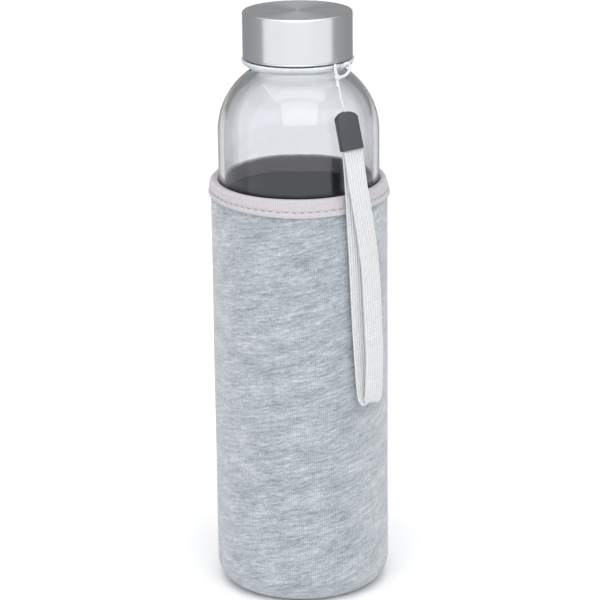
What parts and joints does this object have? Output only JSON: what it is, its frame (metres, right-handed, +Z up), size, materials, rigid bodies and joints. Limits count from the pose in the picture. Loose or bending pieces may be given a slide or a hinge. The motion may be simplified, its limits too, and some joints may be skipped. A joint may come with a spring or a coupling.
{
  "type": "glass water bottle",
  "caption": "Clear glass water bottle with a brushed steel screw cap, a grey knit sleeve and a white wrist strap on a neck ring.",
  "frame": {"origin": "centre of the flat foot of the sleeve, on the surface that the bottle stands on", "axes": "+Z up along the bottle axis; -Y is the front; the strap hangs at the front right, towards +X"},
  "size_m": [0.0702, 0.0702, 0.2297],
  "materials": {
    "knit": "heather grey jersey bonded to foam",
    "lining": "black knit lining",
    "tape": "ribbed binding tape",
    "thread": "polyester sewing thread",
    "glass": "clear, smooth",
    "steel": "circular brushed top, straight brushed side",
    "liner_plastic": "moulded polypropylene",
    "silicone": "translucent silicone",
    "ring_plastic": "milky translucent plastic",
    "string": "white braided string",
    "webbing": "white ribbed woven tape",
    "clasp_plastic": "dark grey satin moulding"
  },
  "bodies": {
    "sleeve": {"sleeve_body": "knit", "sleeve_base": "knit", "sleeve_lining": "lining", "sleeve_binding": "tape", "binding_stitches": "thread", "back_seam_stitches": "thread", "base_seam_stitches": "thread"},
    "bottle": {"glass_bottle": "glass"},
    "seal": {"cap_seal": "silicone"},
    "cap": {"cap_shell": "steel", "cap_liner": "liner_plastic"},
    "ring": {"neck_ring": "ring_plastic", "ring_string": "string", "hitch_knot": "string"},
    "strap": {"strap_string": "string", "strap_clasp": "clasp_plastic", "clasp_stopper": "string"},
    "loop": {"strap_webbing": "webbing"}
  },
  "joints": [
    {"name": "bottle_lift", "type": "slide", "parent": "sleeve", "child": "bottle", "axis": [0, 0, 1], "range_m": [0, 0.18]},
    {"name": "cap_lift", "type": "slide", "parent": "bottle", "child": "seal", "axis": [0, 0, 1], "range_m": [0, 0.016]},
    {"name": "cap_turn", "type": "hinge", "parent": "seal", "child": "cap", "pos_m": [0, 0, 0.21], "axis": [0, 0, 1], "range_deg": [0, 1440]},
    {"name": "ring_spin", "type": "hinge", "parent": "bottle", "child": "ring", "pos_m": [0, 0, 0.21], "axis": [0, 0, 1], "continuous": true},
    {"name": "strap_swing", "type": "hinge", "parent": "ring", "child": "strap", "pos_m": [0.0147, -0.019, 0.2077], "axis": [-0.7909, -0.6119, 0], "range_deg": [0, 105]},
    {"name": "loop_swing", "type": "hinge", "parent": "strap", "child": "loop", "pos_m": [0.01997, -0.02977, 0.18148], "axis": [-0.9397, -0.342, 0], "range_deg": [0, 40]}
  ],
  "couplings": [
    {"joint": "cap_lift", "follows": "cap_turn", "m_per_rad": 0.00063662}
  ]
}
